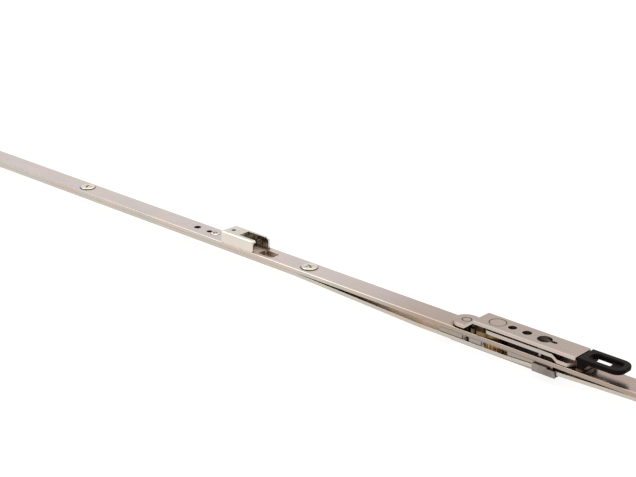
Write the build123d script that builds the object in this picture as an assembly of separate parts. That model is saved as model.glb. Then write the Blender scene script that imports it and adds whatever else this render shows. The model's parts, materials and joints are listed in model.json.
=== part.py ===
from build123d import *
import math
import os

# Lever-driven shootbolt lock for the second leaf of a French window.
# X runs along the faceplate, +Z is the outward normal of its visible face and the origin is
# where the lever's axis meets that face. The parked lever points along +X with both bolts out.

# Faceplate and drive rails
faceplate_width = 16.0
faceplate_thickness = 2.5
faceplate_left = 530.0
faceplate_right = 230.0
faceplate_edge_radius = 0.8
faceplate_corner_radius = 2.0
rail_setback = 0.1
rail_thickness = 2.2
slide_clearance = 0.1
tongue_gap = 0.6
left_ramp_length = 98.0
right_ramp_length = 82.0
ramp_bend_radius = 60.0
ramp_case_gap = 2.0
tongue_end_gap = 1.0

# Lever and its grip
lever_range = 110.0
lever_side_setback = 0.5
lever_thickness = 2.2
lever_top = 4.8
lever_step_start = 41.8
lever_step_run = 3.4
lever_low_bottom = 0.3
lever_tang_start = 55.0
lever_tang_end = 62.0
lever_tang_width = 7.0
lever_tang_taper = 3.5
lever_pip_x = 33.0
lever_pip_y = -5.2
lever_pip_radius = 1.2
bend_radius = 1.0
grip_gap = 1.0
grip_tip = 85.0
grip_top = 8.3
grip_thickness = 3.1
grip_corner_radius = 6.5
grip_top_rounding = 0.7
grip_low_rounding = 1.0
grip_slot_chamfer = 0.5
grip_root_length = 4.0
grip_slot_end = 74.5
grip_ledge_top = 6.5
grip_slot_corner_radius = 3.0
grip_rim = 3.9
grip_rivet_radius = 1.2
grip_rivet_depth = 1.0

# Bridge plate
bridge_top = 8.1
bridge_thickness = 2.0
bridge_end = 57.0
bridge_step_gap = 0.9
bridge_step_run = 6.0
bridge_foot_length = 11.7
bridge_foot_lift = 1.2
bridge_boss_radius = 5.0
bridge_end_corner_radius = 1.0
bridge_edge_radius = 0.6
foot_rivet_radius = 2.8
small_hole_x = 10.1
small_hole_radius = 2.6
middle_hole_x = 20.0
middle_hole_radius = 2.8
keyhole_x = 31.8
keyhole_radius = 4.4
keyhole_tail_x = 38.8
keyhole_tail_width = 2.6

# Pivot shaft, cam, stop pin, pinion and racks
head_radius = 5.0
head_chamfer = 0.3
collar_radius = 5.6
upper_journal_radius = 4.25
lower_section_radius = 3.2
lower_journal_radius = 2.5
flat_depth = 0.7
running_clearance = 0.05
cam_hub_radius = 6.4
cam_lobe_radius = 2.7
cam_lobe_lead = 10.9
stop_pin_inset = 0.5
stop_pin_radius = 1.9
stop_pin_margin = 0.7
stop_gap = 0.05
pinion_teeth = 14
pressure_angle = 20.0
pinion_addendum = 0.9
rack_addendum = 0.75
root_clearance = 0.25
backlash = 0.09
flank_steps = 3
spare_rack_teeth = 2

# Gear case, bottom plate and guide clip
case_depth = 3.4
case_side_setback = 0.6
case_sheet = 0.8
case_left = -35.0
case_right = 43.0
case_taper_start = 8.0
case_pin_notch_left = -19.0
case_pin_notch_right = -14.0
case_gear_notch_left = -5.6
case_gear_notch_right = 12.9
case_notch_radius = 0.8
cross_pin_radius = 0.9
bottom_plate_length = 59.0
bottom_plate_setback = 1.6
bottom_plate_thickness = 1.0
bottom_plate_corner_radius = 2.5
case_rivet_x = 25.5
case_rivet_radius = 1.6
rivet_slot_clearance = 0.15
clip_start = 30.6
clip_length = 14.6
clip_wall = 1.2
clip_floor = 0.8
clip_side_clearance = 0.2
clip_lip_top = -3.6
clip_lip_height = 0.8
clip_arm_shortfall = 5.0
clip_hook_length = 2.0
clip_fit = 0.05

# Keep bracket
keep_left = -215.0
keep_top_cut = -202.0
keep_near_end = -187.0
keep_far_end = -184.0
keep_near_inset = 0.3
keep_far_inset = 2.0
keep_height = 7.5
keep_sheet = 1.6
keep_bend_radius = 1.6
keep_flange_end = -198.0
keep_flange_width = 8.4
keep_strip = 1.7
keep_corner_radius = 2.5
keep_end_radius = 1.2
keep_hole_y = -0.8
keep_hole_radius = 1.5
keep_rivet_inset = 4.5
keep_rivet_y = -2.7
keep_rivet_radius = 1.2
keep_rivet_head_radius = 2.0
keep_rivet_head_height = 0.7

# Holes and fasteners along the faceplate
cam_slot_x = -178.4
cam_slot_y = -1.2
cam_slot_length = 12.2
cam_slot_width = 7.6
cam_slot_corner_radius = 1.5
stud_positions = (-358.6, -144.3, 146.0)
stud_head_radius = 5.2
stud_head_height = 1.3
stud_head_dome = 0.6
stud_top_radius = 3.2
stud_shank_radius = 3.0
stud_washer_radius = 5.5
stud_washer_thickness = 0.9
stud_washer_clearance = 0.55
screw_positions = (-470.0, -245.3, 166.0)
screw_hole_radius = 2.1
pilot_hole_x = -234.0
pilot_hole_radius = 1.65
strip_rivet_x = -228.5
strip_rivet_radius = 1.8
strip_rivet_head_radius = 3.0
strip_rivet_head_height = 0.5
strip_rivet_tail_height = 0.8
rail_slot_clearance = 0.3

# Shootbolts and their end guides
bolt_radius = 4.0
bolt_length = 61.0
bolt_chamfer = 1.0
bolt_nose_radius = 3.75
bolt_nose_length = 10.0
bolt_end_margin = 0.25
bolt_rivet_radius = 1.8
bolt_rivet_inset = 10.0
bolt_flat_depth = 1.2
bolt_rivet_depth = 5.6
end_guide_length = 24.0
end_guide_side_setback = 0.5
end_guide_wall = 1.6
end_guide_corner_radius = 3.0
end_guide_post_radius = 1.2
end_guide_post_inset = 4.0
end_guide_post_side_margin = 2.4
rail_end_gap = 4.0

# Widths that follow the faceplate's
half_width = faceplate_width / 2
rail_half = half_width - rail_setback
lever_half = half_width - lever_side_setback
case_half = half_width - case_side_setback
bottom_plate_half = half_width - bottom_plate_setback
end_guide_half = half_width - end_guide_side_setback
grip_slot_half = half_width - grip_rim
case_rivet_y = 0.525 * half_width
end_guide_post_y = half_width - end_guide_post_side_margin
stop_pin_y = -(half_width - stop_pin_radius - stop_pin_margin)
keep_near = keep_near_inset - half_width
keep_far = half_width - keep_far_inset

# Levels, from the faceplate's visible face at zero
faceplate_back = -faceplate_thickness
case_web_bottom = faceplate_back - case_sheet
case_bottom = faceplate_back - case_depth
strip_rail_top = faceplate_back - slide_clearance
strip_rail_bottom = strip_rail_top - rail_thickness
low_rail_top = case_bottom - slide_clearance
low_rail_bottom = low_rail_top - rail_thickness
bottom_plate_top = low_rail_bottom - slide_clearance
bottom_plate_bottom = bottom_plate_top - bottom_plate_thickness
pinion_top = case_web_bottom - slide_clearance
pinion_bottom = bottom_plate_top + slide_clearance
bridge_bottom = bridge_top - bridge_thickness
foot_top = bridge_foot_lift + bridge_thickness
lever_bottom = lever_top - lever_thickness
lever_low_top = lever_low_bottom + lever_thickness
grip_bottom = grip_top - grip_thickness
stud_washer_top = strip_rail_bottom - stud_washer_clearance
stud_washer_bottom = stud_washer_top - stud_washer_thickness
strip_rivet_tail_top = strip_rail_bottom - slide_clearance
bolt_axis = strip_rail_bottom - bolt_radius + bolt_flat_depth
cut_top = faceplate_back
cut_bottom = bottom_plate_bottom

# Gear geometry and the travel that the lever's range gives the rails
pitch_radius = 0.7 * half_width
gear_module = 2 * pitch_radius / pinion_teeth
rack_pitch = math.pi * gear_module
half_rack_tooth = (rack_pitch / 2 - backlash) / 2
pinion_tip_radius = pitch_radius + pinion_addendum * gear_module
pinion_root_radius = pitch_radius - (rack_addendum + root_clearance) * gear_module
rack_tip = pitch_radius - rack_addendum * gear_module
rack_root = pitch_radius + (pinion_addendum + root_clearance) * gear_module
rail_travel = pitch_radius * math.radians(lever_range)
leading_rack_teeth = math.ceil(rail_travel / rack_pitch) + spare_rack_teeth

# Stations along X with the bolts out. The bridge steps down where the turned lever's edge ends.
lever_end_angle = math.radians(lever_range)
lever_edge_x = (half_width * math.cos(lever_end_angle) - lever_half) / math.sin(lever_end_angle)
bridge_step_high = lever_edge_x - bridge_step_gap
bridge_step_low = bridge_step_high - bridge_step_run
bridge_foot_end = bridge_step_low - bridge_foot_length
stop_pin_x = bridge_step_high - stop_pin_inset
foot_rivet_x = bridge_foot_end + half_width
grip_start = bridge_end + grip_gap
grip_rivet_x = grip_start + grip_root_length / 2
left_ramp_end = case_left - rail_travel - 3 * ramp_case_gap
left_ramp_start = left_ramp_end - left_ramp_length
near_ramp_start = case_taper_start + ramp_case_gap
near_ramp_end = near_ramp_start + right_ramp_length
far_ramp_start = near_ramp_start + rail_travel
far_ramp_end = far_ramp_start + right_ramp_length
right_ramp_slope = (strip_rail_top - low_rail_top) / right_ramp_length
tongue_root = case_left - 2 * ramp_case_gap
near_tongue_end = far_ramp_end + tongue_end_gap
right_rail_root = near_tongue_end + 2 * rail_travel + tongue_end_gap
far_tongue_end = -3 * rack_pitch
left_rail_end = -faceplate_left + end_guide_length + rail_end_gap
right_rail_end = faceplate_right - end_guide_length - rail_end_gap


def bar(x0, x1, y0, y1, z0, z1):
    return Pos((x0 + x1) / 2, (y0 + y1) / 2, (z0 + z1) / 2) * Box(x1 - x0, y1 - y0, z1 - z0)


def rod(x, y, z0, z1, radius):
    return Pos(x, y, (z0 + z1) / 2) * Cylinder(radius, z1 - z0)


def slot(x0, x1, y, width, z0, z1):
    """Round-ended slot whose end centres lie at x0 and x1."""
    shape = bar(x0, x1, y - width / 2, y + width / 2, z0, z1)
    return shape + rod(x0, y, z0, z1, width / 2) + rod(x1, y, z0, z1, width / 2)


def rounded_plate(x0, x1, y0, y1, z0, z1, radius):
    plate = bar(x0, x1, y0, y1, z0, z1)
    return fillet(plate.edges().filter_by(Axis.Z), radius)


def bent_strip(points, radii, thickness, width):
    """Sheet strip whose top surface follows points in XZ, with rounded bends."""
    lower = [(x, z - thickness) for x, z in points]
    with BuildLine(Plane.XZ) as outline:
        FilletPolyline(*points, radius=radii)
        FilletPolyline(*lower, radius=radii)
        Line(points[0], lower[0])
        Line(points[-1], lower[-1])
    return extrude(make_face(outline.edges()), amount=width / 2, both=True)


def d_section(radius, z0, z1):
    """Round section with two flats, facing +Y and -Y."""
    across = radius - flat_depth
    return rod(0, 0, z0, z1, radius) & bar(-radius, radius, -across, across, z0, z1)


def case_rivet_centres():
    """One rivet through each rail's tongue, at opposite corners of the bottom plate."""
    return [(-case_rivet_x, -case_rivet_y), (case_rivet_x, case_rivet_y)]


def keep_rivet_centres():
    return [(keep_left + keep_rivet_inset, keep_rivet_y), (keep_flange_end - keep_rivet_inset, keep_rivet_y)]


def end_post_centres(side):
    """One post near each end of the guide, on opposite sides of the bolt."""
    end = faceplate_right if side > 0 else -faceplate_left
    outer = (end - side * end_guide_post_inset, -end_guide_post_y)
    inner = (end - side * (end_guide_length - end_guide_post_inset), end_guide_post_y)
    return [outer, inner]


def bolt_rivet_x(side):
    return (right_rail_end if side > 0 else left_rail_end) - side * bolt_rivet_inset


def faceplate():
    plate = bar(-faceplate_left, faceplate_right, -half_width, half_width, faceplate_back, 0)
    plate = fillet(plate.edges().filter_by(Axis.Z), faceplate_corner_radius)
    plate = fillet(plate.edges().filter_by(Axis.X).group_by(Axis.Z)[-1], faceplate_edge_radius)
    holes = [(0, 0, upper_journal_radius + running_clearance)]
    holes += [(foot_rivet_x, 0, foot_rivet_radius), (stop_pin_x, stop_pin_y, stop_pin_radius)]
    holes += [(x, y, case_rivet_radius) for x, y in case_rivet_centres()]
    holes += [(x, y, keep_rivet_radius) for x, y in keep_rivet_centres()]
    holes += [(x, y, end_guide_post_radius) for x, y in end_post_centres(-1) + end_post_centres(1)]
    holes += [(x, 0, screw_hole_radius) for x in screw_positions]
    holes += [(x, 0, stud_shank_radius) for x in stud_positions]
    holes += [(pilot_hole_x, 0, pilot_hole_radius), (strip_rivet_x, 0, strip_rivet_radius)]
    for x, y, radius in holes:
        plate -= rod(x, y, faceplate_back, 0, radius)
    x0 = cam_slot_x - cam_slot_length / 2
    y0 = cam_slot_y - cam_slot_width / 2
    x1 = x0 + cam_slot_length
    y1 = y0 + cam_slot_width
    return plate - rounded_plate(x0, x1, y0, y1, faceplate_back, 0, cam_slot_corner_radius)


def bridge_plate():
    points = [(bridge_foot_end, foot_top), (bridge_step_low, foot_top)]
    points += [(bridge_step_high, bridge_top), (bridge_end, bridge_top)]
    plate = bent_strip(points, (bend_radius, bend_radius), bridge_thickness, faceplate_width)
    round_centre = bridge_foot_end + half_width
    outline = rod(round_centre, 0, 0, bridge_top, half_width)
    outline += bar(round_centre, 0, -half_width, half_width, 0, bridge_top)
    outline += rounded_plate(
        round_centre, bridge_end, -half_width, half_width, 0, bridge_top, bridge_end_corner_radius
    )
    plate = plate & outline
    long_edges = plate.edges().filter_by(Axis.X).filter_by(lambda edge: edge.length > bridge_end / 2)
    plate = fillet(long_edges.group_by(Axis.Z)[-1], bridge_edge_radius)
    plate += rod(foot_rivet_x, 0, 0, bridge_foot_lift, bridge_boss_radius)
    plate -= rod(foot_rivet_x, 0, 0, foot_top, foot_rivet_radius)
    plate -= rod(0, 0, bridge_bottom, bridge_top, head_radius + running_clearance)
    plate -= rod(small_hole_x, 0, bridge_bottom, bridge_top, small_hole_radius)
    plate -= rod(middle_hole_x, 0, bridge_bottom, bridge_top, middle_hole_radius)
    plate -= rod(keyhole_x, 0, bridge_bottom, bridge_top, keyhole_radius)
    return plate - slot(keyhole_x, keyhole_tail_x, 0, keyhole_tail_width, bridge_bottom, bridge_top)


def foot_rivet():
    body = rod(foot_rivet_x, 0, faceplate_back, foot_top, foot_rivet_radius)
    return chamfer(body.edges().filter_by(GeomType.CIRCLE).group_by(Axis.Z)[-1], head_chamfer)


def stop_pin():
    return rod(stop_pin_x, stop_pin_y, faceplate_back, lever_bottom - slide_clearance, stop_pin_radius)


def lever_plate():
    points = [(-lever_half, lever_top), (lever_step_start, lever_top)]
    points += [(lever_step_start + lever_step_run, lever_low_top), (lever_tang_end, lever_low_top)]
    plate = bent_strip(points, (bend_radius, bend_radius), lever_thickness, 2 * lever_half)
    tang_half = lever_tang_width / 2
    taper_start = lever_tang_start - lever_tang_taper
    with BuildSketch() as plan:
        with BuildLine():
            end_round = CenterArc((0, 0), lever_half, 90, 180)
            Polyline(
                end_round @ 1,
                (taper_start, -lever_half),
                (lever_tang_start, -tang_half),
                (lever_tang_end, -tang_half),
                (lever_tang_end, tang_half),
                (lever_tang_start, tang_half),
                (taper_start, lever_half),
                end_round @ 0,
            )
        make_face()
    plate = plate & extrude(plan.sketch, amount=lever_top)
    plate -= d_section(upper_journal_radius, lever_bottom, lever_top)
    plate -= rod(grip_rivet_x, 0, 0, lever_low_top, grip_rivet_radius)
    # A pressed pip under the lever rides close over the faceplate.
    return plate + rod(lever_pip_x, lever_pip_y, slide_clearance, lever_bottom, lever_pip_radius)


def lever_grip():
    """Moulded finger loop with a ledge under its tip. Its root sits on the lever's tang."""
    loop = bar(grip_start, grip_tip, -half_width, half_width, grip_bottom, grip_top)
    loop = fillet(loop.edges().filter_by(Axis.Z).group_by(Axis.X)[-1], grip_corner_radius)
    slot_start = grip_start + grip_root_length
    loop += bar(grip_start, slot_start, -half_width, half_width, lever_low_top, grip_top)
    under = loop.faces().filter_by(Axis.Z).sort_by(Axis.X)[-1]
    rim = under.edges().filter_by(lambda edge: edge.center().X > slot_start)
    loop = chamfer(rim, grip_low_rounding)
    loop = fillet(loop.faces().sort_by(Axis.Z)[-1].edges(), grip_top_rounding)
    y0 = -grip_slot_half
    y1 = grip_slot_half
    z1 = grip_top - grip_slot_chamfer
    radius = grip_slot_corner_radius
    recess = rounded_plate(slot_start, grip_tip - grip_rim, y0, y1, grip_ledge_top, z1, radius)
    recess += extrude(recess.faces().sort_by(Axis.Z)[-1], amount=grip_slot_chamfer, taper=-45)
    loop -= recess + rounded_plate(slot_start, grip_slot_end, y0, y1, grip_bottom, z1, radius)
    return loop - rod(grip_rivet_x, 0, lever_low_top, grip_top - grip_rivet_depth, grip_rivet_radius)


def grip_rivet():
    return rod(grip_rivet_x, 0, lever_low_bottom, grip_top - grip_rivet_depth, grip_rivet_radius)


def pivot_shaft():
    collar_top = bridge_bottom - slide_clearance
    shaft = rod(0, 0, collar_top, bridge_top, head_radius)
    shaft += rod(0, 0, lever_top, collar_top, collar_radius)
    shaft += d_section(upper_journal_radius, slide_clearance, lever_top)
    shaft += rod(0, 0, pinion_top, slide_clearance, upper_journal_radius)
    shaft += d_section(lower_section_radius, pinion_bottom, pinion_top)
    shaft += rod(0, 0, bottom_plate_bottom, pinion_bottom, lower_journal_radius)
    return chamfer(shaft.edges().filter_by(GeomType.CIRCLE).group_by(Axis.Z)[-1], head_chamfer)


def cam_lobe_centre():
    """The lobe lies against the stop pin when the lever is parked."""
    pin_distance = math.hypot(stop_pin_x, stop_pin_y)
    contact = cam_lobe_radius + stop_pin_radius + stop_gap
    lead = math.radians(cam_lobe_lead)
    offset = pin_distance * math.cos(lead) - math.sqrt(contact**2 - (pin_distance * math.sin(lead)) ** 2)
    direction = math.atan2(stop_pin_y, stop_pin_x) + lead
    return offset * math.cos(direction), offset * math.sin(direction)


def lever_cam():
    lobe = cam_lobe_centre()
    direction = math.atan2(lobe[1], lobe[0])
    spread = math.acos((cam_hub_radius - cam_lobe_radius) / math.hypot(*lobe))
    corners = []
    for angle in (direction + spread, direction - spread):
        normal = Vector(math.cos(angle), math.sin(angle))
        corners.append((normal * cam_hub_radius, Vector(*lobe) + normal * cam_lobe_radius))
    outline = Polyline(corners[0][0], corners[0][1], corners[1][1], corners[1][0], close=True)
    cam = extrude(make_face(outline.edges()), amount=lever_bottom)
    cam += rod(*lobe, 0, lever_bottom, cam_lobe_radius) + rod(0, 0, 0, lever_bottom, cam_hub_radius)
    cam -= bar(-half_width * 2, half_width, -half_width * 2, half_width, 0, slide_clearance)
    return cam - d_section(upper_journal_radius, slide_clearance, lever_bottom)


def pinion():
    """Spur pinion with involute flanks and a double-D bore."""
    base_radius = pitch_radius * math.cos(math.radians(pressure_angle))
    pitch_roll = math.tan(math.radians(pressure_angle)) - math.radians(pressure_angle)
    half_tooth = half_rack_tooth / pitch_radius + pitch_roll
    flank = [(pinion_root_radius - flat_depth / 2, half_tooth), (base_radius, half_tooth)]
    for step in range(1, flank_steps + 1):
        radius = base_radius + (pinion_tip_radius - base_radius) * step / flank_steps
        roll = math.sqrt((radius / base_radius) ** 2 - 1)
        flank.append((radius, half_tooth - roll + math.atan(roll)))
    blank = Circle(pinion_root_radius)
    for index in range(pinion_teeth):
        # A gap faces the near rack at rest.
        middle = -math.pi / 2 + (index + 0.5) * 2 * math.pi / pinion_teeth
        outline = [(radius, middle - angle) for radius, angle in flank]
        outline += [(radius, middle + angle) for radius, angle in reversed(flank)]
        corners = [(radius * math.cos(angle), radius * math.sin(angle)) for radius, angle in outline]
        blank += make_face(Polyline(*corners, close=True).edges())
    gear = Pos(0, 0, pinion_bottom) * extrude(blank, amount=pinion_top - pinion_bottom)
    return gear - d_section(lower_section_radius, pinion_bottom, pinion_top)


def rack_cutter(side):
    """The pinion's running space in one rail. What it leaves on that side are the rack's teeth."""
    slope = math.tan(math.radians(pressure_angle))
    tip_half = half_rack_tooth - (pitch_radius - rack_tip) * slope
    root_half = half_rack_tooth + (rack_root - pitch_radius) * slope
    # With an odd count a pinion tooth faces the far rack at rest, so that rack shifts by half a pitch.
    shift = rack_pitch / 2 if side > 0 and pinion_teeth % 2 else 0
    first = -leading_rack_teeth if side < 0 else -spare_rack_teeth
    last = spare_rack_teeth if side < 0 else leading_rack_teeth
    reach = pinion_tip_radius + slide_clearance
    start = min((first - 0.5) * rack_pitch + shift, -reach)
    end = max((last + 0.5) * rack_pitch + shift, reach)
    points = [(start, 0), (start, rack_root)]
    for index in range(first, last + 1):
        centre = index * rack_pitch + shift
        points += [(centre - root_half, rack_root), (centre - tip_half, rack_tip)]
        points += [(centre + tip_half, rack_tip), (centre + root_half, rack_root)]
    points += [(end, rack_root), (end, 0)]
    face = make_face(Polyline(*[(x, side * y) for x, y in points], close=True).edges())
    return Pos(0, 0, cut_bottom) * extrude(face, amount=cut_top - cut_bottom)


def travel_slots(side, centres):
    """Slots that let a rail slide round fixed pins. The rail moves against side by its travel."""
    cuts = []
    for x, y, width in centres:
        x0, x1 = sorted((x, x + side * rail_travel))
        cuts.append(slot(x0, x1, y, width, cut_bottom, cut_top))
    return cuts


def case_rivet_slots(side, tongue):
    width = 2 * (case_rivet_radius + rivet_slot_clearance)
    return travel_slots(side, [(x, y, width) for x, y in case_rivet_centres() if y * tongue > 0])


def fastener_slots(side, x_low, x_high):
    pins = [(x, stud_shank_radius) for x in stud_positions]
    pins += [(x, screw_hole_radius) for x in screw_positions]
    pins += [(strip_rivet_x, strip_rivet_radius)]
    passing = [(x, 0, 2 * (radius + rail_slot_clearance)) for x, radius in pins if x_low < x < x_high]
    return travel_slots(side, passing)


def left_rail():
    """Runs under the faceplate to the left bolt, and ends in a racked tongue on the near side."""
    points = [(left_rail_end, strip_rail_top), (left_ramp_start, strip_rail_top)]
    points += [(left_ramp_end, low_rail_top), (near_ramp_start, low_rail_top)]
    points += [(near_ramp_end, strip_rail_top), (near_tongue_end, strip_rail_top)]
    rail = bent_strip(points, (ramp_bend_radius,) * 4, rail_thickness, 2 * rail_half)
    rail -= bar(tongue_root, near_tongue_end, -tongue_gap / 2, rail_half, cut_bottom, cut_top)
    rail -= rack_cutter(-1)
    for cut in case_rivet_slots(-1, -1) + fastener_slots(-1, left_rail_end, tongue_root):
        rail -= cut
    return rail - rod(bolt_rivet_x(-1), 0, strip_rail_bottom, strip_rail_top, bolt_rivet_radius)


def right_rail():
    """Runs under the faceplate to the right bolt, and ends in a racked tongue on the far side."""
    points = [(far_tongue_end, low_rail_top), (far_ramp_start, low_rail_top)]
    points += [(far_ramp_end, strip_rail_top), (right_rail_end, strip_rail_top)]
    rail = bent_strip(points, (ramp_bend_radius,) * 2, rail_thickness, 2 * rail_half)
    rail -= bar(far_tongue_end, right_rail_root, -rail_half, tongue_gap / 2, cut_bottom, cut_top)
    rail -= rack_cutter(1)
    rail -= bar(far_tongue_end, 0, 0, rack_tip, cut_bottom, cut_top)
    for cut in case_rivet_slots(1, 1) + fastener_slots(1, right_rail_root, right_rail_end):
        rail -= cut
    return rail - rod(bolt_rivet_x(1), 0, strip_rail_bottom, strip_rail_top, bolt_rivet_radius)


def gear_case():
    """Folded channel under the faceplate, tapered where the rails climb."""
    shell = bar(case_left, case_right, -case_half, case_half, case_bottom, faceplate_back)
    shell = fillet(shell.edges().filter_by(Axis.X).group_by(Axis.Z)[-1], case_sheet)
    inner = case_half - case_sheet
    shell -= bar(case_left, case_right, -inner, inner, case_bottom, case_web_bottom)
    taper_rise = right_ramp_slope * (case_right - case_taper_start)
    taper_start = (case_taper_start, 0, case_bottom)
    taper_end = (case_right, 0, case_bottom + taper_rise)
    wedge = make_face(Polyline(taper_start, taper_end, (case_right, 0, case_bottom), close=True).edges())
    shell -= extrude(wedge, amount=case_half, both=True)
    shell -= rod(0, 0, case_web_bottom, faceplate_back, upper_journal_radius + running_clearance)
    for x, y in case_rivet_centres():
        shell -= rod(x, y, case_web_bottom, faceplate_back, case_rivet_radius)
    notch_top = case_web_bottom - running_clearance
    notches = [(case_pin_notch_left, case_pin_notch_right), (case_gear_notch_left, case_gear_notch_right)]
    for x0, x1 in notches:
        notch = bar(x0, x1, -case_half, case_half, case_bottom - case_sheet, notch_top)
        shell -= fillet(notch.edges().filter_by(Axis.Y).group_by(Axis.Z)[-1], case_notch_radius)
    x0 = clip_start - clip_fit
    x1 = clip_start + clip_hook_length + clip_fit
    lip_bottom = clip_lip_top - clip_lip_height - clip_fit
    return shell - bar(x0, x1, -case_half, case_half, lip_bottom, clip_lip_top + clip_fit)


def case_cross_pin():
    centre = (case_pin_notch_left + case_pin_notch_right) / 2
    pin = Rot(90, 0, 0) * Cylinder(cross_pin_radius, 2 * case_half)
    return Pos(centre, 0, case_bottom + cross_pin_radius) * pin


def bottom_plate():
    length = bottom_plate_length / 2
    width = bottom_plate_half
    z0 = bottom_plate_bottom
    z1 = bottom_plate_top
    plate = rounded_plate(-length, length, -width, width, z0, z1, bottom_plate_corner_radius)
    plate -= rod(0, 0, z0, z1, lower_journal_radius + running_clearance)
    for x, y in case_rivet_centres():
        plate -= rod(x, y, z0, z1, case_rivet_radius)
    return plate


def case_rivets():
    return [rod(x, y, bottom_plate_bottom, 0, case_rivet_radius) for x, y in case_rivet_centres()]


def guide_clip():
    """Die-cast channel round both rails, hooked into the case walls."""
    x0 = clip_start
    x1 = x0 + clip_length
    inner = rail_half + clip_side_clearance
    outer = inner + clip_wall
    lowest_rail = low_rail_bottom + right_ramp_slope * (x0 - near_ramp_start - rail_travel)
    floor_top = lowest_rail - slide_clearance
    lip_bottom = clip_lip_top - clip_lip_height
    body = bar(x0, x1, -outer, outer, floor_top - clip_floor, lip_bottom)
    body = fillet(body.edges().filter_by(Axis.X).group_by(Axis.Z)[0], clip_floor)
    body -= bar(x0, x1, -inner, inner, floor_top, lip_bottom)
    wall = case_half + clip_fit
    for side in (-1, 1):
        arm = sorted((side * outer, side * wall))
        body += bar(x0, x1 - clip_arm_shortfall, *arm, lip_bottom, clip_lip_top)
        hook = sorted((side * wall, side * (case_half - case_sheet)))
        body += bar(x0, x0 + clip_hook_length, *hook, lip_bottom, clip_lip_top)
    return body


def keep_bracket():
    """Folded sheet hood, open at its right end, that takes a rail end of the first leaf's lock."""
    under = keep_height - keep_sheet
    hood = bar(keep_left, keep_top_cut, keep_near, keep_far, under, keep_height)
    strip_edge = keep_near + keep_sheet + keep_strip
    hood += bar(keep_top_cut, keep_near_end, keep_near, strip_edge, under, keep_height)
    hood += bar(keep_left, keep_near_end, keep_near, keep_near + keep_sheet, 0, keep_height)
    hood += bar(keep_left, keep_flange_end, keep_near, keep_near + keep_flange_width, 0, keep_sheet)
    hood += bar(keep_left, keep_far_end, keep_far - keep_sheet, keep_far, 0, keep_height)
    near_face = hood.faces().sort_by(Axis.Y)[0]
    hood = fillet(near_face.edges().group_by(Axis.Z)[-1], keep_bend_radius)
    far_corner = hood.faces().sort_by(Axis.X)[-1].edges().group_by(Axis.Z)[-1]
    hood = fillet(far_corner, keep_corner_radius)
    upright = hood.edges().filter_by(Axis.Z).sort_by(Axis.Y)[:2].sort_by(Axis.X)[-1]
    hood = fillet(upright, keep_end_radius)
    hood -= rod(keep_left + keep_rivet_inset, keep_hole_y, under, keep_height, keep_hole_radius)
    for x, y in keep_rivet_centres():
        hood -= rod(x, y, 0, keep_sheet, keep_rivet_radius)
    return hood


def keep_rivets():
    rivets = []
    for x, y in keep_rivet_centres():
        head = rod(x, y, keep_sheet, keep_sheet + keep_rivet_head_height, keep_rivet_head_radius)
        rivets.append(head + rod(x, y, faceplate_back, keep_sheet, keep_rivet_radius))
    return rivets


def guide_studs():
    """Domed studs that hold a rail up against the faceplate."""
    rim = stud_head_height - stud_head_dome
    studs = []
    for x in stud_positions:
        dome = Pos(x, 0, rim + stud_head_dome / 2) * Cone(stud_head_radius, stud_top_radius, stud_head_dome)
        head = dome + rod(x, 0, 0, rim, stud_head_radius)
        studs.append(head + rod(x, 0, stud_washer_bottom, 0, stud_shank_radius))
    return studs


def stud_washers():
    washers = []
    for x in stud_positions:
        disc = rod(x, 0, stud_washer_bottom, stud_washer_top, stud_washer_radius)
        washers.append(disc - rod(x, 0, stud_washer_bottom, stud_washer_top, stud_shank_radius))
    return washers


def strip_rivet():
    x = strip_rivet_x
    head = rod(x, 0, 0, strip_rivet_head_height, strip_rivet_head_radius)
    tail_top = strip_rivet_tail_top
    tail = rod(x, 0, tail_top - strip_rivet_tail_height, tail_top, strip_rivet_head_radius)
    return head + tail + rod(x, 0, tail_top, 0, strip_rivet_radius)


def end_guide(side):
    """Cast block with two posts that are peened over in the faceplate."""
    end = faceplate_right if side > 0 else -faceplate_left
    x0, x1 = sorted((end, end - side * end_guide_length))
    bottom = bolt_axis - bolt_radius - end_guide_wall
    block = bar(x0, x1, -end_guide_half, end_guide_half, bottom, faceplate_back)
    block = fillet(block.edges().filter_by(Axis.X).group_by(Axis.Z)[0], end_guide_corner_radius)
    bore = Rot(0, 90, 0) * Cylinder(bolt_radius + running_clearance, end_guide_length)
    block -= Pos((x0 + x1) / 2, 0, bolt_axis) * bore
    for x, y in end_post_centres(side):
        block += rod(x, y, faceplate_back, 0, end_guide_post_radius)
    return block


def shootbolt(side):
    """Round bolt with a slimmer nose, and a flat that the rail's end is riveted to."""
    tip = (faceplate_right if side > 0 else -faceplate_left) + side * (rail_travel + bolt_end_margin)
    tail = tip - side * bolt_length
    shoulder = tip - side * bolt_nose_length
    body_length = bolt_length - bolt_nose_length
    bolt = Pos((shoulder + tail) / 2, 0, bolt_axis) * (Rot(0, 90, 0) * Cylinder(bolt_radius, body_length))
    nose = Rot(0, 90, 0) * Cylinder(bolt_nose_radius, bolt_nose_length)
    bolt += Pos((tip + shoulder) / 2, 0, bolt_axis) * nose
    tip_face = bolt.faces().sort_by(Axis.X)[-1 if side > 0 else 0]
    bolt = chamfer(tip_face.edges(), bolt_chamfer)
    rail_end = right_rail_end if side > 0 else left_rail_end
    x0, x1 = sorted((rail_end + side * bolt_end_margin, tail))
    bolt -= bar(x0, x1, -bolt_radius, bolt_radius, strip_rail_bottom, strip_rail_bottom + bolt_radius)
    rivet_bottom = strip_rail_bottom - bolt_rivet_depth
    return bolt - rod(bolt_rivet_x(side), 0, rivet_bottom, strip_rail_bottom, bolt_rivet_radius)


def bolt_rivet(side):
    rivet_bottom = strip_rail_bottom - bolt_rivet_depth
    return rod(bolt_rivet_x(side), 0, rivet_bottom, strip_rail_top, bolt_rivet_radius)


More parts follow.
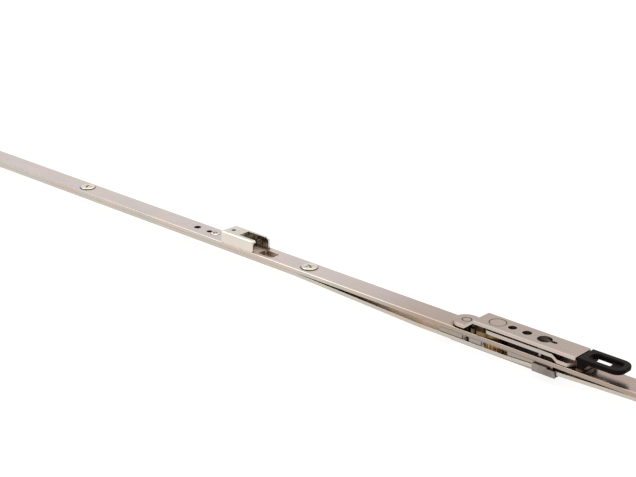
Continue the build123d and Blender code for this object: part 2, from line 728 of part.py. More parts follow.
nodes = {
    "faceplate": faceplate(),
    "bridge_plate": bridge_plate(),
    "foot_rivet": foot_rivet(),
    "stop_pin": stop_pin(),
    "gear_case": gear_case(),
    "case_cross_pin": case_cross_pin(),
    "bottom_plate": bottom_plate(),
    "case_rivets": case_rivets(),
    "guide_clip": guide_clip(),
    "keep_bracket": keep_bracket(),
    "keep_rivets": keep_rivets(),
    "guide_studs": guide_studs(),
    "stud_washers": stud_washers(),
    "strip_rivet": strip_rivet(),
    "end_guide_left": end_guide(-1),
    "end_guide_right": end_guide(1),
    "lever_plate": lever_plate(),
    "lever_grip": lever_grip(),
    "grip_rivet": grip_rivet(),
    "pivot_shaft": pivot_shaft(),
    "lever_cam": lever_cam(),
    "pinion": pinion(),
    "left_rail": left_rail(),
    "shootbolt_left": shootbolt(-1),
    "bolt_rivet_left": bolt_rivet(-1),
    "right_rail": right_rail(),
    "shootbolt_right": shootbolt(1),
    "bolt_rivet_right": bolt_rivet(1),
}

os.makedirs("parts", exist_ok=True)
for name, shape in nodes.items():
    if isinstance(shape, list):
        shape = Compound(children=shape)
    export_step(shape, f"parts/{name}.step")
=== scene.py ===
import json
import math

import bmesh
import bpy
from mathutils import Matrix, Vector


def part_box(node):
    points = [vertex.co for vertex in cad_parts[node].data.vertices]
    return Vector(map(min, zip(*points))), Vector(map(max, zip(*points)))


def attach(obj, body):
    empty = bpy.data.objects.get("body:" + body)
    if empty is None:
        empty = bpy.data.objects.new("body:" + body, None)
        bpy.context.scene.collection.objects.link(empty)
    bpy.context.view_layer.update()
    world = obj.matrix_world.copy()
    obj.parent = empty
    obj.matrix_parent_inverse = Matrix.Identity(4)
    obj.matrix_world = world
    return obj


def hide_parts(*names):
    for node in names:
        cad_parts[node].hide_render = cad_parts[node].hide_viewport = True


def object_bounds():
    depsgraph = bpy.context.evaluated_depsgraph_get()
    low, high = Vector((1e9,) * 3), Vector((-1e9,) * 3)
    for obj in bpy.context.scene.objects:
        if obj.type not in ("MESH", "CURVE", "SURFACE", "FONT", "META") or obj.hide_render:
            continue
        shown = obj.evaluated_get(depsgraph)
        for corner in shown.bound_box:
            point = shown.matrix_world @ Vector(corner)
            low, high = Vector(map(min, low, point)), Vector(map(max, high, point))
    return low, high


# Looks for the shootbolt lock: satin zinc-plated strips, a black moulded grip, a grey die-cast
# clip and yellow-passivated drive pieces, on a white sweep under a top light and a left fill.

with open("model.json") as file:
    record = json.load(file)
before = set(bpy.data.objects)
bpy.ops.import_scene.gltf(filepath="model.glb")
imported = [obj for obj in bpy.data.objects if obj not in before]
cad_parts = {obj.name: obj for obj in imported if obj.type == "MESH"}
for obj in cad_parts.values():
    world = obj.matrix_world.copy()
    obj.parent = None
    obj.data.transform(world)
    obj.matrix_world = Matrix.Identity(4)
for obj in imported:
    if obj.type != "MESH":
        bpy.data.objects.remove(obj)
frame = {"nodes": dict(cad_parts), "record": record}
cad_low, cad_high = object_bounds()
nodes = frame["nodes"]
mounts = {mount["name"]: mount for mount in frame["record"]["mounts"]}

MM = 0.001


def middle_x(name):
    low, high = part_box(name)
    return (low.x + high.x) / 2


# Camera fitted to the photograph: turn round Z, height, roll and distance
PHOTO_WIDTH = 636
SENSOR_WIDTH = 36.0
AZIMUTH = math.radians(41.50)
ELEVATION = math.radians(21.11)
ROLL = math.radians(1.31)
FOCAL_PIXELS = 1507.0
OFFSET_RIGHT = 101.8 * MM
OFFSET_UP = -55.1 * MM
DISTANCE = 857.0 * MM
NEAREST_SEEN = 0.01

# Guide studs: place along X and turn of the crossed recess
STUDS = ((-358.6 * MM, 0.5), (-144.3 * MM, 1.1), (146.0 * MM, 0.2))
STUD_RADIUS = 5.2 * MM
STUD_TOP = 1.3 * MM
STUD_RIM = 0.75 * MM
RIM_ROUND = 0.5 * MM
RIM_DROP = 0.3 * MM
SHANK_RADIUS = 3.0 * MM
RECESS_REACH = 3.3 * MM
RECESS_END = 0.5 * MM
RECESS_DEPTH = 1.3 * MM
RECESS_TAPER = 0.45
RECESS_FLOOR = 0.45 * MM
RECESS_LIP = 0.75 * MM

# Peened rivet: three uneven lobes round a shallow middle, rippled by the hammer
PEEN_X = middle_x("strip_rivet")
PEEN_RADIUS = 3.0 * MM
PEEN_SHANK_RADIUS = 1.8 * MM
PEEN_TOP = 0.5 * MM
PEEN_TAIL = 0.8 * MM
PEEN_LEAST = 0.08
LOBES = 3
LOBE_LEVEL = 0.74
LOBE_SWING = 0.26
LOBE_TURN = 0.7
LOBE_START, LOBE_FULL = 0.15, 0.6
FALL = 0.75
FALL_START = 0.55
DIMPLE = 0.5
DIMPLE_REACH = 0.4
RIPPLES = 5
RIPPLE_HEIGHT = 0.1
RIPPLE_TWIST = 9

# Mesh steps round and across the heads
HEAD_RINGS = 40
HEAD_STEPS = 96
SHANK_STEPS = 48
MOST_CORNERS_SMOOTHED = 4

# Tones multiplied into a material's own colour
CLEAN = (1.0, 1.0, 1.0)
# Dark ring tone: painted shade round the stud and rivet heads and on the peened head, and the foot rivet's
# dark seam
RING_TONE = (0.22, 0.16, 0.13)
SEAM_TONE = (0.40, 0.31, 0.27)
# Painted shade under the lever
UNDER_LEVER_SHADE_TONE = (0.30, 0.24, 0.20)
# Painted shade in and under the holes
HOLE_SHADE_TONE = (0.10, 0.08, 0.065)
# Painted shade, duller and warmer, over a wide patch round the lever
WIDE_SHADE_TONE = (0.70, 0.635, 0.585)
ROLLED_TONE = (0.95, 0.945, 0.94)
# Painted crevice shade, from here to CAST_HALFWAY: its warmth at the deepest, and its tones halfway in and
# at the deepest
DUSK_WARMTH = (1.0, 0.72, 0.55)
YELLOW_WARMTH = (1.0, 0.75, 0.5)
DUSK_HALFWAY = (0.46, 0.39, 0.345)
KEEP_HALFWAY = (0.34, 0.34, 0.30)
RAIL_HALFWAY = (0.85, 0.84, 0.79)
CAST_FLOOR = (0.2, 0.18, 0.16)
CAST_HALFWAY = (0.6, 0.58, 0.56)
# Painted light and shade by the way a face looks: tones for undersides, then from STRIP_TOP for tops
LEVER_UNDER = (0.25, 0.17, 0.12)
BRIDGE_UNDER = (0.5, 0.4, 0.33)
KEEP_UNDER = (0.7, 0.7, 0.66)
STRIP_TOP = (0.77, 0.74, 0.79)
KEEP_TOP = (0.90, 0.90, 0.90)
SHEET_TOP = (0.58, 0.535, 0.525)
BRIGHT_TOP = (0.86, 0.84, 0.84)
FILM_TINTS = ((1.0, 0.92, 0.955), (1.0, 0.975, 0.90), (0.93, 0.97, 0.95), (1.0, 0.95, 0.92))

# A material's own colour, dark and light
STRIP_COLOURS = ((0.75, 0.67, 0.615), (0.82, 0.74, 0.685))
SHEET_COLOURS = ((0.70, 0.62, 0.57), (0.78, 0.69, 0.635))
KEEP_COLOURS = ((0.71, 0.65, 0.605), (0.79, 0.725, 0.68))
BRIGHT_COLOURS = ((0.74, 0.69, 0.62), (0.90, 0.86, 0.80))
# Steel coloured near black, for the cross pin
DARK_PIN_COLOURS = ((0.06, 0.045, 0.035), (0.22, 0.19, 0.17))
# Painted shade: the yellow zinc of the cam and stop pin, much darker than the pinion's, as they sit under
# the lever
CAM_SHADED_COLOURS = ((0.10, 0.065, 0.03), (0.34, 0.25, 0.12))
GEAR_COLOURS = ((0.60, 0.42, 0.18), (0.95, 0.76, 0.42))
CLIP_COLOURS = ((0.24, 0.21, 0.185), (0.34, 0.30, 0.265))
GUIDE_COLOURS = ((0.30, 0.285, 0.265), (0.43, 0.41, 0.385))
NYLON_COLOURS = ((0.008, 0.005, 0.005), (0.015, 0.010, 0.010))
FLOOR_COLOURS = ((0.30, 0.30, 0.30), (0.31, 0.31, 0.31))

# Bumps: strength and height
ROLLED_BUMP = (0.05, 0.02 * MM)
SPECK_BUMP = (0.05, 0.01 * MM)
PLATED_BUMP = (0.15, 0.02 * MM)
CAST_BUMP = (0.3, 0.04 * MM)
SPARK_BUMP = (0.25, 0.03 * MM)

# Holes with painted shade round their rims and on the rail under them: place along X and radius
SCREW_HOLE = mounts["middle_screw_hole"]
HOLES = (
    (SCREW_HOLE["pos_m"][0], SCREW_HOLE["dims"]["r_mm"] * MM),
    (-234.0 * MM, 1.65 * MM),
)

# Dark marks seen from above, painted shade except the bridge's two dark seams: centre, radius of a ring
# or 0 for a patch, reach, tone and, if any, how much narrower it is across the strip
# A wide patch of painted shade round the lever
WIDE_SHADE_PATCH = ((45 * MM, 0), 0, 170 * MM, WIDE_SHADE_TONE)
# Painted shade under the lever, long and narrow across the strip
UNDER_LEVER_SHADE = ((20 * MM, 0), 0, 52 * MM, UNDER_LEVER_SHADE_TONE, 6.6)
# Painted shade in a ring round the peened rivet's head
PEEN_EDGE_SHADE = ((PEEN_X, 0), PEEN_RADIUS, 0.6 * MM, RING_TONE)
# All painted shade on the faceplate's top
STRIP_PAINTED_SHADE = (
    WIDE_SHADE_PATCH,
    UNDER_LEVER_SHADE,
    PEEN_EDGE_SHADE,
    # Painted shadow in a ring round each guide stud's head
    *(((x, 0), STUD_RADIUS, 0.8 * MM, RING_TONE) for x, _ in STUDS),
    # Painted shade round each hole's rim
    *(((x, 0), radius, 0.5 * MM, HOLE_SHADE_TONE) for x, radius in HOLES),
)
# Painted shade on the rails under the holes
RAIL_HOLE_SHADE = tuple(((x, 0), 0, 2 * radius, HOLE_SHADE_TONE) for x, radius in HOLES)
PIVOT_SEAM = ((0, 0), 5.05 * MM, 0.5 * MM, SEAM_TONE)
FOOT_RIVET_SEAM = ((middle_x("foot_rivet"), 0), 2.8 * MM, 0.55 * MM, RING_TONE)
# Painted shade on the peened head: a ring round its middle dimple and a patch to one side
PEEN_MIDDLE = ((PEEN_X, 0), 1.2 * MM, 0.8 * MM, RING_TONE)
PEEN_SIDE = ((PEEN_X - 1.4 * MM, 0.9 * MM), 0, 1.3 * MM, RING_TONE)

# Node settings shared by the materials
NOISE_LOW, NOISE_HIGH = 0.3, 0.7
NOISE_ROUGHNESS = 0.55
CREVICE_SAMPLES = 8
CREVICE_DEEP, CREVICE_HALF, CREVICE_OPEN = 0.05, 0.5, 0.92
FACE_DOWN, FACE_LEVEL_LOW, FACE_LEVEL_HIGH, FACE_UP = 0.1, 0.35, 0.65, 0.9
RING_SOLID = 0.5
BEVEL_SAMPLES = 4
PLAIN_SPECULAR = 0.5

# Floor and world
FLOOR_REACH = 6.0
FLOOR_GLOW = 0.87
WHITE = (1, 1, 1, 1)

# The world's light by direction, from 0 at the right end to 1 at the left
LIGHT_FALL = (
    (0.0, (0.325, 0.30, 0.275)),
    (0.35, (0.45, 0.425, 0.40)),
    (0.55, (0.25, 0.206, 0.169)),
    (0.68, (0.138, 0.094, 0.05)),
    (0.80, (0.625, 0.581, 0.55)),
    (0.92, (0.925, 0.912, 0.90)),
)


def add_camera():
    """The photograph's view."""
    right = Vector((math.cos(AZIMUTH), math.sin(AZIMUTH), 0))
    tilt = math.cos(ELEVATION)
    back = Vector((math.sin(AZIMUTH) * tilt, -math.cos(AZIMUTH) * tilt, math.sin(ELEVATION)))
    up = back.cross(right)
    rolled_right = right * math.cos(ROLL) + up * math.sin(ROLL)
    rolled_up = up * math.cos(ROLL) - right * math.sin(ROLL)
    data = bpy.data.cameras.new("photo_camera")
    data.sensor_width = SENSOR_WIDTH
    data.lens = FOCAL_PIXELS / PHOTO_WIDTH * SENSOR_WIDTH
    data.clip_start = NEAREST_SEEN
    camera = bpy.data.objects.new("photo_camera", data)
    bpy.context.scene.collection.objects.link(camera)
    place = back * DISTANCE - rolled_right * OFFSET_RIGHT - rolled_up * OFFSET_UP
    axes = Matrix((rolled_right, rolled_up, back)).transposed()
    camera.matrix_world = Matrix.Translation(place) @ axes.to_4x4()
    bpy.context.scene.camera = camera


class NodeTree:
    """Short calls for building any node tree."""

    def __init__(self, tree):
        self.tree = tree

    def add(self, kind, **settings):
        node = self.tree.nodes.new(kind)
        for key, value in settings.items():
            setattr(node, key, value)
        return node

    def link(self, source, target):
        self.tree.links.new(source, target)

    def stops(self, factor, places):
        """Colour ramp with any number of (position, colour) stops."""
        node = self.add("ShaderNodeValToRGB")
        elements = node.color_ramp.elements
        while len(elements) < len(places):
            elements.new(0.5)
        for element, (position, colour) in zip(elements, places):
            element.position = position
            element.color = (*colour, 1)
        self.link(factor, node.inputs["Fac"])
        return node.outputs["Color"]

    def sees_white(self):
        """1 for camera, transmission and mirror rays, to which the studio is white, and else 0."""
        rays = self.add("ShaderNodeLightPath")
        result = rays.outputs["Is Camera Ray"]
        for kind in ("Is Transmission Ray", "Is Glossy Ray"):
            higher = self.add("ShaderNodeMath", operation="MAXIMUM")
            self.link(result, higher.inputs[0])
            self.link(rays.outputs[kind], higher.inputs[1])
            result = higher.outputs["Value"]
        return result


class Surface(NodeTree):
    """Short calls for building one material's node tree."""

    def __init__(self, name):
        self.material = bpy.data.materials.new(name)
        self.material.use_nodes = True
        super().__init__(self.material.node_tree)
        self.tree.nodes.clear()
        self.output = self.add("ShaderNodeOutputMaterial")

    def grain(self, scale, stretch=(1, 1, 1), detail=3):
        """Noise in object space, stretched along each axis by a factor."""
        coords = self.add("ShaderNodeTexCoord")
        mapping = self.add("ShaderNodeMapping")
        mapping.inputs["Scale"].default_value = stretch
        noise = self.add("ShaderNodeTexNoise")
        noise.inputs["Scale"].default_value = scale
        noise.inputs["Detail"].default_value = detail
        noise.inputs["Roughness"].default_value = NOISE_ROUGHNESS
        self.link(coords.outputs["Object"], mapping.inputs["Vector"])
        self.link(mapping.outputs["Vector"], noise.inputs["Vector"])
        return noise.outputs["Fac"]

    def ramp(self, factor, low, high, colours):
        """Colour ramp from one colour to another between two values of the factor."""
        return self.stops(factor, ((low, colours[0]), (high, colours[1])))

    def span(self, factor, low, high):
        """Noise spread over a range of values."""
        node = self.add("ShaderNodeMapRange")
        node.inputs["From Min"].default_value = NOISE_LOW
        node.inputs["From Max"].default_value = NOISE_HIGH
        node.inputs["To Min"].default_value = low
        node.inputs["To Max"].default_value = high
        self.link(factor, node.inputs["Value"])
        return node.outputs["Result"]

    def multiply(self, first, second):
        node = self.add("ShaderNodeMix", data_type="RGBA", blend_type="MULTIPLY")
        node.inputs["Factor"].default_value = 1.0
        self.link(first, node.inputs["A"])
        self.link(second, node.inputs["B"])
        return node.outputs["Result"]

    def crevice_shade(self, reach, floor, halfway):
        """Painted shade where surfaces come close together."""
        occlusion = self.add("ShaderNodeAmbientOcclusion", samples=CREVICE_SAMPLES)
        occlusion.inputs["Distance"].default_value = reach
        places = ((CREVICE_DEEP, floor), (CREVICE_HALF, halfway), (CREVICE_OPEN, CLEAN))
        return self.stops(occlusion.outputs["AO"], places)

    def tints(self, factor, colours):
        """Evenly spaced colours over the range that noise mostly takes."""
        step = (NOISE_HIGH - NOISE_LOW) / (len(colours) - 1)
        places = [(NOISE_LOW + step * index, colour) for index, colour in enumerate(colours)]
        return self.stops(factor, places)

    def face_light_and_shade(self, underside, upright, top):
        """Painted light and shade by the way a face looks: down, sideways and up."""
        coords = self.add("ShaderNodeTexCoord")
        parts = self.add("ShaderNodeSeparateXYZ")
        self.link(coords.outputs["Normal"], parts.inputs["Vector"])
        node = self.add("ShaderNodeMapRange")
        node.inputs["From Min"].default_value = -1.0
        self.link(parts.outputs["Z"], node.inputs["Value"])
        side = (upright, upright, upright)
        places = ((FACE_DOWN, underside), (FACE_LEVEL_LOW, side), (FACE_LEVEL_HIGH, side), (FACE_UP, top))
        return self.stops(node.outputs["Result"], places)

    def seam_and_shade_mark(self, centre, radius, reach, tone, squeeze=1.0):
        """A dark ring or patch seen from above, for a dark seam or painted shade: solid to half its reach,
        then fading out.
        A squeeze above 1 makes it that much narrower across the strip than along it."""
        coords = self.add("ShaderNodeTexCoord")
        offset = self.add("ShaderNodeVectorMath", operation="SUBTRACT")
        offset.inputs[1].default_value = (centre[0], centre[1], 0)
        level = self.add("ShaderNodeVectorMath", operation="MULTIPLY")
        level.inputs[1].default_value = (1, squeeze, 0)
        distance = self.add("ShaderNodeVectorMath", operation="LENGTH")
        away = self.add("ShaderNodeMath", operation="SUBTRACT")
        away.inputs[1].default_value = radius
        size = self.add("ShaderNodeMath", operation="ABSOLUTE")
        share = self.add("ShaderNodeMath", operation="DIVIDE")
        share.inputs[1].default_value = reach
        self.link(coords.outputs["Object"], offset.inputs[0])
        self.link(offset.outputs["Vector"], level.inputs[0])
        self.link(level.outputs["Vector"], distance.inputs[0])
        self.link(distance.outputs["Value"], away.inputs[0])
        self.link(away.outputs["Value"], size.inputs[0])
        self.link(size.outputs["Value"], share.inputs[0])
        return self.ramp(share.outputs["Value"], RING_SOLID, 1.0, (tone, CLEAN))

    def bump(self, heights, edge):
        """Bumps chained on a softened edge normal. Each height is (factor, strength, distance)."""
        normal = self.add("ShaderNodeBevel", samples=BEVEL_SAMPLES)
        normal.inputs["Radius"].default_value = edge
        result = normal.outputs["Normal"]
        for factor, strength, distance in heights:
            node = self.add("ShaderNodeBump")
            node.inputs["Strength"].default_value = strength
            node.inputs["Distance"].default_value = distance
            self.link(factor, node.inputs["Height"])
            self.link(result, node.inputs["Normal"])
            result = node.outputs["Normal"]
        return result

    def finish(self, colour, roughness, normal, metallic, specular=PLAIN_SPECULAR):
        shader = self.add("ShaderNodeBsdfPrincipled")
        shader.inputs["Metallic"].default_value = metallic
        shader.inputs["Specular IOR Level"].default_value = specular
        self.link(colour, shader.inputs["Base Color"])
        self.link(roughness, shader.inputs["Roughness"])
        self.link(normal, shader.inputs["Normal"])
        self.link(shader.outputs["BSDF"], self.output.inputs["Surface"])
        return self.material


def zinc(name, colours, rough, upright, top, reach, depth,
         underside=CLEAN, halfway=DUSK_HALFWAY, seams_and_shade=(), edge=0.22 * MM):
    """Cold-rolled strip with bright zinc plating: long faint grain, cloudy patches, a slight play of
    pink, straw and green in the passivation, painted shade that dulls upright faces, painted light and
    shade on tops and undersides, and painted shade in crevices. The crevice shade starts at a reach from
    the next surface, and depth is how light it stays at its deepest."""
    made = Surface(name)
    rolled = made.grain(scale=900, stretch=(0.03, 1, 1), detail=4)
    clouds = made.grain(scale=45, stretch=(0.6, 1, 1))
    film = made.grain(scale=38, stretch=(0.8, 1.6, 1), detail=2)
    specks = made.grain(scale=2600, detail=2)
    colour = made.ramp(clouds, low=0.3, high=0.72, colours=colours)
    colour = made.multiply(colour, made.tints(film, FILM_TINTS))
    colour = made.multiply(colour, made.ramp(rolled, low=0.25, high=0.6, colours=(ROLLED_TONE, CLEAN)))
    colour = made.multiply(colour, made.face_light_and_shade(underside, upright, top))
    deepest = tuple(depth * share for share in DUSK_WARMTH)
    colour = made.multiply(colour, made.crevice_shade(reach, deepest, halfway))
    # Dark seams and painted shade marks, each multiplied in
    for mark in seams_and_shade:
        colour = made.multiply(colour, made.seam_and_shade_mark(*mark))
    normal = made.bump(((rolled, *ROLLED_BUMP), (specks, *SPECK_BUMP)), edge)
    return made.finish(colour, made.span(rolled, *rough), normal, metallic=1.0)


def faceplate_zinc():
    return zinc("satin_zinc_strip", STRIP_COLOURS, rough=(0.16, 0.25), upright=0.73, top=STRIP_TOP,
                reach=2.8 * MM, depth=0.02, seams_and_shade=STRIP_PAINTED_SHADE)


def rail_zinc():
    return zinc("satin_zinc_rail", STRIP_COLOURS, rough=(0.18, 0.28), upright=0.72, top=CLEAN,
                reach=2.0 * MM, depth=0.4, halfway=RAIL_HALFWAY, seams_and_shade=RAIL_HOLE_SHADE)


def keep_zinc():
    return zinc("keep_zinc_sheet", KEEP_COLOURS, rough=(0.1, 0.2), upright=1.0, top=KEEP_TOP,
                reach=3.0 * MM, depth=0.08, underside=KEEP_UNDER, halfway=KEEP_HALFWAY)


def case_zinc():
    return zinc("case_zinc_sheet", SHEET_COLOURS, rough=(0.2, 0.3), upright=0.50, top=SHEET_TOP,
                reach=1.5 * MM, depth=0.2)


def lever_zinc():
    return zinc("lever_zinc_sheet", SHEET_COLOURS, rough=(0.18, 0.3), upright=0.70, top=SHEET_TOP,
                reach=6.0 * MM, depth=0.03, underside=LEVER_UNDER)


def bridge_zinc():
    return zinc("bridge_zinc_sheet", SHEET_COLOURS, rough=(0.18, 0.3), upright=0.74, top=SHEET_TOP,
                reach=4.0 * MM, depth=0.04, underside=BRIDGE_UNDER, seams_and_shade=(PIVOT_SEAM, FOOT_RIVET_SEAM))


def turned_steel():
    return zinc("bright_turned_steel", BRIGHT_COLOURS, rough=(0.08, 0.15), upright=0.70, top=BRIGHT_TOP,
                reach=2.0 * MM, depth=0.02, edge=0.12 * MM)


def peened_steel():
    return zinc("peened_steel", BRIGHT_COLOURS, rough=(0.1, 0.2), upright=0.45, top=CLEAN,
                reach=2.0 * MM, depth=0.02, seams_and_shade=(PEEN_MIDDLE, PEEN_SIDE), edge=0.08 * MM)


# The cross pin's steel, coloured near black
def dark_pin_steel():
    return zinc("dark_steel_pin", DARK_PIN_COLOURS, rough=(0.2, 0.35), upright=0.70, top=BRIGHT_TOP,
                reach=2.0 * MM, depth=0.02, edge=0.12 * MM)


def yellow_zinc(name, colours, metallic, depth):
    """Yellow passivated zinc, patchy between straw, olive and bronze, with painted shade in its crevices.
    Depth is how light that painted shade stays at its deepest."""
    made = Surface(name)
    patches = made.grain(scale=260, detail=4)
    fine = made.grain(scale=2200, detail=2)
    colour = made.ramp(patches, low=0.32, high=0.68, colours=colours)
    deepest = tuple(depth * share for share in YELLOW_WARMTH)
    halfway = tuple((1 + share) / 2 for share in deepest)
    colour = made.multiply(colour, made.crevice_shade(reach=3 * MM, floor=deepest, halfway=halfway))
    normal = made.bump(((fine, *PLATED_BUMP),), edge=0.25 * MM)
    return made.finish(colour, made.span(patches, low=0.3, high=0.5), normal, metallic)


# Painted shade: a much darker copy of the yellow zinc for the pieces under the lever
def cam_zinc():
    return yellow_zinc("shaded_yellow_zinc", CAM_SHADED_COLOURS, metallic=0.9, depth=0.25)


def gear_zinc():
    return yellow_zinc("gear_yellow_zinc", GEAR_COLOURS, metallic=0.3, depth=1.0)


def die_cast(name, colours):
    """Dull die-cast zinc with a fine orange-peel skin and painted shade in its crevices."""
    made = Surface(name)
    skin = made.grain(scale=1500)
    mark = made.grain(scale=140)
    colour = made.ramp(mark, NOISE_LOW, NOISE_HIGH, colours)
    colour = made.multiply(colour, made.crevice_shade(reach=5 * MM, floor=CAST_FLOOR, halfway=CAST_HALFWAY))
    normal = made.bump(((skin, *CAST_BUMP),), edge=0.6 * MM)
    return made.finish(colour, made.span(skin, low=0.34, high=0.5), normal, metallic=0.8)


def clip_cast():
    return die_cast("clip_die_cast_zinc", CLIP_COLOURS)


def guide_cast():
    return die_cast("guide_die_cast_zinc", GUIDE_COLOURS)


def black_nylon():
    """Moulded black nylon with a fine spark-eroded grain and rubbed high spots."""
    made = Surface("black_moulded_nylon")
    grain = made.grain(scale=2400, detail=2)
    rubbed = made.grain(scale=120)
    colour = made.ramp(rubbed, NOISE_LOW, NOISE_HIGH, NYLON_COLOURS)
    normal = made.bump(((grain, *SPARK_BUMP),), edge=0.5 * MM)
    return made.finish(colour, made.span(rubbed, low=0.42, high=0.55), normal, metallic=0.0, specular=0.05)


def dress(material, *names):
    for name in names:
        nodes[name].data.materials.clear()
        nodes[name].data.materials.append(material)


def dress_nodes(bright):
    dress(faceplate_zinc(), "faceplate")
    dress(rail_zinc(), "left_rail", "right_rail")
    dress(keep_zinc(), "keep_bracket")
    dress(case_zinc(), "gear_case", "bottom_plate", "case_rivets")
    dress(lever_zinc(), "lever_plate", "grip_rivet")
    dress(bridge_zinc(), "bridge_plate", "foot_rivet", "pivot_shaft")
    dress(bright, "guide_studs", "stud_washers", "strip_rivet", "keep_rivets")
    dress(bright, "shootbolt_left", "shootbolt_right", "bolt_rivet_left", "bolt_rivet_right")
    dress(dark_pin_steel(), "case_cross_pin")
    dress(cam_zinc(), "lever_cam", "stop_pin")
    dress(gear_zinc(), "pinion")
    dress(clip_cast(), "guide_clip")
    dress(guide_cast(), "end_guide_left", "end_guide_right")
    dress(black_nylon(), "lever_grip")


def smooth_step(value, low, high):
    share = min(max((value - low) / (high - low), 0), 1)
    return share * share * (3 - 2 * share)


def circle(mesh, x, radius, steps, height_at):
    """Vertices round (x, 0), each at the height for its reach and angle."""
    angles = [2 * math.pi * step / steps for step in range(steps)]
    loop = []
    for angle in angles:
        place = (x + radius * math.cos(angle), radius * math.sin(angle), height_at(radius, angle))
        loop.append(mesh.verts.new(place))
    return loop


def lathe_head(mesh, x, radius, height_at):
    """A round head as rings of a height field, closed by a skirt down to Z 0 and a flat underside."""
    middle = mesh.verts.new((x, 0, height_at(0, 0)))
    reaches = [radius * ring / HEAD_RINGS for ring in range(1, HEAD_RINGS + 1)]
    loops = [circle(mesh, x, reach, HEAD_STEPS, height_at) for reach in reaches]
    loops.append(circle(mesh, x, radius, HEAD_STEPS, lambda reach, angle: 0))
    for step in range(HEAD_STEPS):
        after = (step + 1) % HEAD_STEPS
        mesh.faces.new((middle, loops[0][step], loops[0][after]))
        for inner, outer in zip(loops, loops[1:]):
            mesh.faces.new((inner[step], outer[step], outer[after], inner[after]))
    mesh.faces.new(list(reversed(loops[-1])))


def lathe_shank(mesh, x, radius, low, high):
    """Plain round shank under a head."""
    bottom = circle(mesh, x, radius, SHANK_STEPS, lambda reach, angle: low)
    top = circle(mesh, x, radius, SHANK_STEPS, lambda reach, angle: high)
    for step in range(SHANK_STEPS):
        after = (step + 1) % SHANK_STEPS
        mesh.faces.new((bottom[step], bottom[after], top[after], top[step]))
    mesh.faces.new(list(reversed(bottom)))
    mesh.faces.new(top)


def finish_piece(mesh, name, node, material):
    """A frame piece that stands for a node. Its flat end faces, with more corners, stay unsmoothed."""
    data = bpy.data.meshes.new(name)
    mesh.to_mesh(data)
    mesh.free()
    for polygon in data.polygons:
        polygon.use_smooth = len(polygon.vertices) <= MOST_CORNERS_SMOOTHED
    data.materials.append(material)
    piece = bpy.data.objects.new(name, data)
    bpy.context.scene.collection.objects.link(piece)
    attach(piece, "frame")
    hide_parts(node)


def cross_arm(along, across):
    side = 1 - smooth_step(abs(across), RECESS_FLOOR, RECESS_LIP)
    end = 1 - smooth_step(abs(along), RECESS_REACH - RECESS_END, RECESS_REACH)
    return side * end


def stud_height(turned):
    """Crowned screw head, rounded at its rim, with a tapered crossed recess turned by an angle."""
    def height_at(reach, angle):
        crown = STUD_TOP - (STUD_TOP - STUD_RIM) * (reach / STUD_RADIUS) ** 2
        rim = RIM_DROP * (1 - smooth_step(STUD_RADIUS - reach, 0, RIM_ROUND)) ** 2
        along = reach * math.cos(angle - turned)
        across = reach * math.sin(angle - turned)
        arm = max(cross_arm(along, across), cross_arm(across, along))
        return crown - rim - arm * RECESS_DEPTH * (1 - RECESS_TAPER * reach / RECESS_REACH)
    return height_at


def peened_height(reach, angle):
    """Rivet end hammered into uneven lobes round a shallow middle."""
    share = reach / PEEN_RADIUS
    swing = LOBE_SWING * math.cos(LOBES * angle + LOBE_TURN)
    lobes = LOBE_LEVEL + swing * smooth_step(share, LOBE_START, LOBE_FULL)
    fall = 1 - FALL * smooth_step(share, FALL_START, 1)
    dimple = DIMPLE * (1 - smooth_step(share, 0, DIMPLE_REACH))
    ripple = RIPPLE_HEIGHT * math.sin(RIPPLES * angle + RIPPLE_TWIST * share)
    return PEEN_TOP * min(1, max(PEEN_LEAST, lobes * fall - dimple + ripple * share))


def add_studs(material):
    mesh = bmesh.new()
    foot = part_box("guide_studs")[0].z
    for x, turned in STUDS:
        lathe_head(mesh, x, STUD_RADIUS, stud_height(turned))
        lathe_shank(mesh, x, SHANK_RADIUS, foot, 0)
    finish_piece(mesh, "recessed_guide_studs", "guide_studs", material)


def add_peened_rivet(material):
    mesh = bmesh.new()
    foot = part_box("strip_rivet")[0].z
    lathe_head(mesh, PEEN_X, PEEN_RADIUS, peened_height)
    lathe_shank(mesh, PEEN_X, PEEN_SHANK_RADIUS, foot + PEEN_TAIL, 0)
    lathe_shank(mesh, PEEN_X, PEEN_RADIUS, foot, foot + PEEN_TAIL)
    finish_piece(mesh, "peened_strip_rivet", "strip_rivet", material)


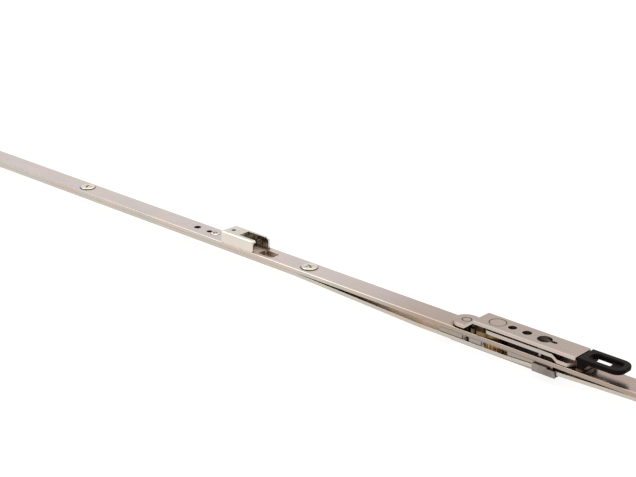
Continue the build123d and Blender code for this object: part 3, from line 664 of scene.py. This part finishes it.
def add_floor(height):
    """White sweep. Camera, mirror and transmission rays see it white, and its shadows stay."""
    mesh = bpy.data.meshes.new("floor")
    places = ((-FLOOR_REACH, -FLOOR_REACH), (FLOOR_REACH, -FLOOR_REACH),
              (FLOOR_REACH, FLOOR_REACH), (-FLOOR_REACH, FLOOR_REACH))
    mesh.from_pydata([(x, y, height) for x, y in places], [], [(0, 1, 2, 3)])
    floor = bpy.data.objects.new("floor", mesh)
    bpy.context.scene.collection.objects.link(floor)
    made = Surface("white_sweep")
    paper = made.grain(scale=30, detail=2)
    diffuse = made.add("ShaderNodeBsdfDiffuse")
    made.link(made.ramp(paper, low=0.2, high=0.8, colours=FLOOR_COLOURS), diffuse.inputs["Color"])
    glow = made.add("ShaderNodeEmission")
    lift = made.add("ShaderNodeMath", operation="MULTIPLY")
    lift.inputs[1].default_value = FLOOR_GLOW
    made.link(made.sees_white(), lift.inputs[0])
    made.link(lift.outputs["Value"], glow.inputs["Strength"])
    both = made.add("ShaderNodeAddShader")
    made.link(diffuse.outputs["BSDF"], both.inputs[0])
    made.link(glow.outputs["Emission"], both.inputs[1])
    made.link(both.outputs["Shader"], made.output.inputs["Surface"])
    mesh.materials.append(made.material)


def add_world():
    """White to camera, mirror and transmission rays. The light itself is bright from the left, dim
    and warm from just left of the middle, and middling from the right."""
    world = bpy.data.worlds.new("studio")
    bpy.context.scene.world = world
    world.use_nodes = True
    made = NodeTree(world.node_tree)
    coords = made.add("ShaderNodeTexCoord")
    parts = made.add("ShaderNodeSeparateXYZ")
    made.link(coords.outputs["Generated"], parts.inputs["Vector"])
    leftness = made.add("ShaderNodeMapRange")
    leftness.inputs["From Min"].default_value = 1.0
    leftness.inputs["From Max"].default_value = -1.0
    made.link(parts.outputs["X"], leftness.inputs["Value"])
    seen = made.add("ShaderNodeMix", data_type="RGBA")
    seen.inputs["B"].default_value = WHITE
    made.link(made.stops(leftness.outputs["Result"], LIGHT_FALL), seen.inputs["A"])
    made.link(made.sees_white(), seen.inputs["Factor"])
    made.link(seen.outputs["Result"], world.node_tree.nodes["Background"].inputs["Color"])


def add_lamp(name, place, target, size, watts):
    data = bpy.data.lights.new(name, "AREA")
    data.shape = "RECTANGLE"
    data.size, data.size_y = size
    data.energy = watts
    lamp = bpy.data.objects.new(name, data)
    bpy.context.scene.collection.objects.link(lamp)
    lamp.location = place
    lamp.rotation_euler = (Vector(target) - Vector(place)).to_track_quat("-Z", "Y").to_euler()


bright = turned_steel()
dress_nodes(bright)
add_studs(bright)
add_peened_rivet(peened_steel())
add_camera()
add_world()
add_floor(cad_low[2])
add_lamp("broad_top_light", place=(-0.4, 0.4, 1.7), target=(-0.15, 0, 0), size=(2.6, 2.2), watts=15)
add_lamp("left_fill", place=(-1.2, -0.75, 1.2), target=(-0.2, 0, 0), size=(0.9, 0.7), watts=3.4)
bpy.context.scene.view_settings.view_transform = "Standard"
